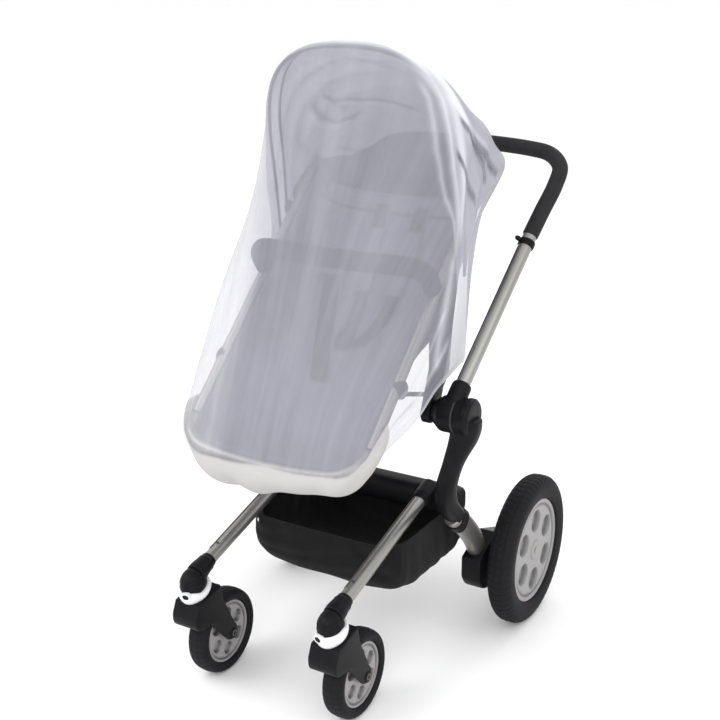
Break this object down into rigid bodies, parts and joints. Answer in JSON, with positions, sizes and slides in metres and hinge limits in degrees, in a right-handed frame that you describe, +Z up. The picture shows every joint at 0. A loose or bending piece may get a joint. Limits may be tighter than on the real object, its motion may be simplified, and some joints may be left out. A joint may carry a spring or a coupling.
{
  "type": "stroller with mosquito net",
  "caption": "Pushchair with a fine white mosquito net drawn over its hood and seat, gathered under the foot end and hanging open behind.",
  "frame": {"origin": "on the floor, under the centre of the whole part's box", "axes": "+Z up, front and foot end towards -Y, the sitting child's left towards +X"},
  "size_m": [0.603, 0.7692, 1.1759],
  "materials": {
    "mesh": "fine white polyester insect net, sheer",
    "denim": "grey melange cloth with fine light stitch marks",
    "lining": "dark grey woven seat cloth",
    "plastic": "fine grained black moulding",
    "alloy": "satin anodised tube",
    "foam": "black ribbed foam",
    "rubber": "matt black tyre",
    "silver": "silver painted moulding",
    "white": "white moulding",
    "canvas": "black basket canvas"
  },
  "bodies": {
    "root": {"front_tyre_left": "rubber", "front_rim_left": "silver", "rear_tyre_left": "rubber", "rear_rim_left": "silver", "front_axle_left": "alloy", "front_tyre_right": "rubber", "front_rim_right": "silver", "rear_tyre_right": "rubber", "rear_rim_right": "silver", "front_axle_right": "alloy", "rear_axle": "alloy", "caster_fork_left": "plastic", "caster_ring_left": "white", "caster_cap_left": "plastic", "front_leg_left": "alloy", "side_arm_left": "plastic", "rear_strut_left": "alloy", "axle_mount_left": "plastic", "fold_joint_left": "plastic", "handle_collar_left": "plastic", "handle_tube_left": "alloy", "caster_fork_right": "plastic", "caster_ring_right": "white", "caster_cap_right": "plastic", "front_leg_right": "alloy", "side_arm_right": "plastic", "rear_strut_right": "alloy", "axle_mount_right": "plastic", "fold_joint_right": "plastic", "handle_collar_right": "plastic", "handle_tube_right": "alloy", "cross_bar": "plastic", "handle_grip": "foam", "seat_tube_left": "alloy", "seat_carrier_left": "plastic", "hood_hinge_left": "plastic", "seat_tube_right": "alloy", "seat_carrier_right": "plastic", "hood_hinge_right": "plastic", "foot_rail": "alloy", "bumper_bar": "plastic", "net": "mesh", "hood_fabric": "denim", "seat_fabric": "lining", "crotch_strap": "lining", "basket": "canvas"}
  },
  "joints": []
}
